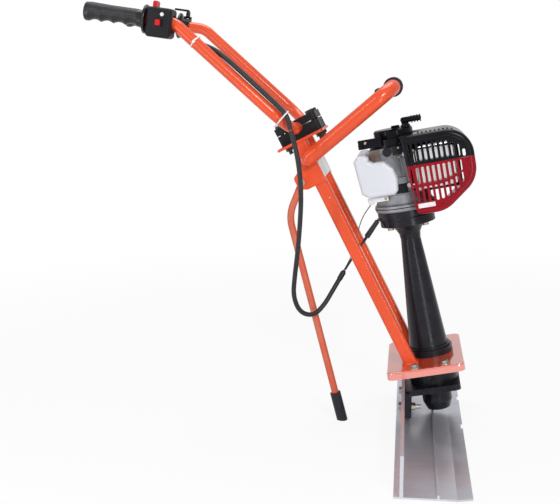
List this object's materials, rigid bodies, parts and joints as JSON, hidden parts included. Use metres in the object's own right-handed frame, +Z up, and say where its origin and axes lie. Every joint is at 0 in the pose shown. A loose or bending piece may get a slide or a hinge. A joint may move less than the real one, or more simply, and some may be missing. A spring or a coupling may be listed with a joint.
{
  "type": "vibratory concrete screed",
  "caption": "Walk-behind petrol vibratory screed: finned alloy blade, leaning drive column with a small engine, square-tube fork, tilting handlebars, lift handle and kickstand.",
  "frame": {"origin": "on the ground, on the blade's sole under the middle of its stiffening rib, halfway along the blade", "axes": "+X to the front, away from the operator, +Y along the blade to the operator's left, +Z up"},
  "size_m": [0.7247, 0.85, 0.8179],
  "materials": {
    "orange_paint": "gloss",
    "black_casting": "satin",
    "grey_casting": "matte",
    "blade_alloy": "satin",
    "zinc": "satin",
    "steel": "satin",
    "muffler_steel": "polished",
    "black_rubber": "matte",
    "black_plastic": "satin",
    "red_plastic": "gloss",
    "red_control": "gloss",
    "pale_plastic": "gloss",
    "tank_plastic": "satin",
    "cable_sheath": "satin"
  },
  "bodies": {
    "frame": {"screed_blade": "blade_alloy", "blade_bolts": "zinc", "exciter_bracket": "black_casting", "exciter_housing": "black_casting", "exciter_cover": "black_casting", "housing_bolts": "zinc", "shaft_bearings": "steel", "base_plate": "orange_paint", "plate_bolts": "zinc", "column": "black_casting", "crankcase_lower": "grey_casting", "crankcase_upper": "grey_casting", "engine_block": "grey_casting", "cylinder": "grey_casting", "muffler": "muffler_steel", "carburettor": "grey_casting", "air_cleaner": "black_plastic", "shroud_upper": "black_plastic", "shroud_lower": "red_plastic", "fuel_tank": "tank_plastic", "starter_housing": "black_plastic", "fork_leg_right": "orange_paint", "fork_leg_left": "orange_paint", "fork_head_plate": "orange_paint", "blank_plate": "zinc", "clamp_lower_jaw": "black_plastic", "clamp_upper_jaw": "black_plastic", "clamp_bolts": "zinc", "lift_handle": "orange_paint", "lift_grip": "black_rubber", "gusset_plates": "orange_paint", "stand_pin": "zinc", "cable_hanging": "cable_sheath", "cable_ends": "cable_sheath", "throttle_core": "cable_sheath", "stop_wire": "red_control"},
    "drive_line": {"eccentric_shaft": "steel", "eccentric_weight": "steel", "drive_shaft": "steel", "clutch_drum": "steel"},
    "crank": {"crankshaft": "steel", "flywheel_fan": "grey_casting", "clutch_shoes": "steel"},
    "fuel_cap": {"fuel_cap": "black_plastic"},
    "starter_pulley": {"starter_pulley": "black_plastic"},
    "starter_handle": {"starter_handle": "black_plastic"},
    "oil_cap": {"oil_cap": "black_plastic"},
    "handlebar": {"handlebar": "orange_paint", "right_grip": "black_rubber", "left_grip": "black_rubber", "switch_housing_outer": "black_plastic", "switch_housing_inner": "black_plastic", "left_lever_mount": "black_plastic", "cable_on_arm": "cable_sheath"},
    "throttle_lever": {"throttle_lever": "red_control"},
    "stop_switch": {"stop_switch": "red_control"},
    "start_button": {"start_button": "pale_plastic"},
    "left_lever": {"left_lever": "black_plastic"},
    "kickstand": {"kickstand": "orange_paint", "stand_boot": "black_rubber"}
  },
  "joints": [
    {"name": "handlebar_tilt", "type": "hinge", "parent": "frame", "child": "handlebar", "pos_m": [-0.27408, 0, 0.58041], "axis": [0, 1, 0], "range_deg": [-12, 12]},
    {"name": "kickstand_fold", "type": "hinge", "parent": "frame", "child": "kickstand", "pos_m": [-0.2623, -0.057, 0.47762], "axis": [0, 1, 0], "range_deg": [0, 95]},
    {"name": "crank_spin", "type": "hinge", "parent": "frame", "child": "crank", "pos_m": [0.016, 0, 0], "axis": [-0.1848, 0, 0.9828], "continuous": true},
    {"name": "drive_line_spin", "type": "hinge", "parent": "frame", "child": "drive_line", "pos_m": [0.016, 0, 0], "axis": [-0.1848, 0, 0.9828], "continuous": true},
    {"name": "starter_pull", "type": "slide", "parent": "frame", "child": "starter_handle", "axis": [-0.1848, 0, 0.9828], "range_m": [0, 0.036], "stiffness_N_per_m": 60, "springref_m": -0.1},
    {"name": "starter_pulley_spin", "type": "hinge", "parent": "frame", "child": "starter_pulley", "pos_m": [0.016, 0, 0], "axis": [-0.1848, 0, 0.9828], "range_deg": [0, 95]},
    {"name": "fuel_cap_turn", "type": "hinge", "parent": "frame", "child": "fuel_cap", "pos_m": [-0.13236, 0.095, 0.48595], "axis": [0, 1, 0], "range_deg": [0, 90]},
    {"name": "oil_cap_turn", "type": "hinge", "parent": "frame", "child": "oil_cap", "pos_m": [-0.101, -0.057, 0.5356], "axis": [0, -1, 0], "range_deg": [0, 90]},
    {"name": "throttle_press", "type": "hinge", "parent": "handlebar", "child": "throttle_lever", "pos_m": [-0.52165, -0.14, 0.79831], "axis": [0, 1, 0], "range_deg": [0, 25], "stiffness_Nm_per_rad": 0.08, "springref_deg": -28.65},
    {"name": "stop_switch_slide", "type": "slide", "parent": "handlebar", "child": "stop_switch", "axis": [0.9903, 0, -0.1392], "range_m": [0, 0.006]},
    {"name": "start_button_press", "type": "slide", "parent": "handlebar", "child": "start_button", "axis": [0, 1, 0], "range_m": [0, 0.002], "stiffness_N_per_m": 300, "springref_m": -0.001},
    {"name": "left_lever_turn", "type": "hinge", "parent": "handlebar", "child": "left_lever", "pos_m": [-0.52695, 0.149, 0.8037], "axis": [0.9903, 0, -0.1392], "range_deg": [0, 20], "stiffness_Nm_per_rad": 0.08, "springref_deg": -28.65}
  ],
  "couplings": [
    {"joint": "drive_line_spin", "follows": "crank_spin", "ratio": 1},
    {"joint": "starter_pulley_spin", "follows": "starter_pull", "rad_per_m": 45.45}
  ]
}
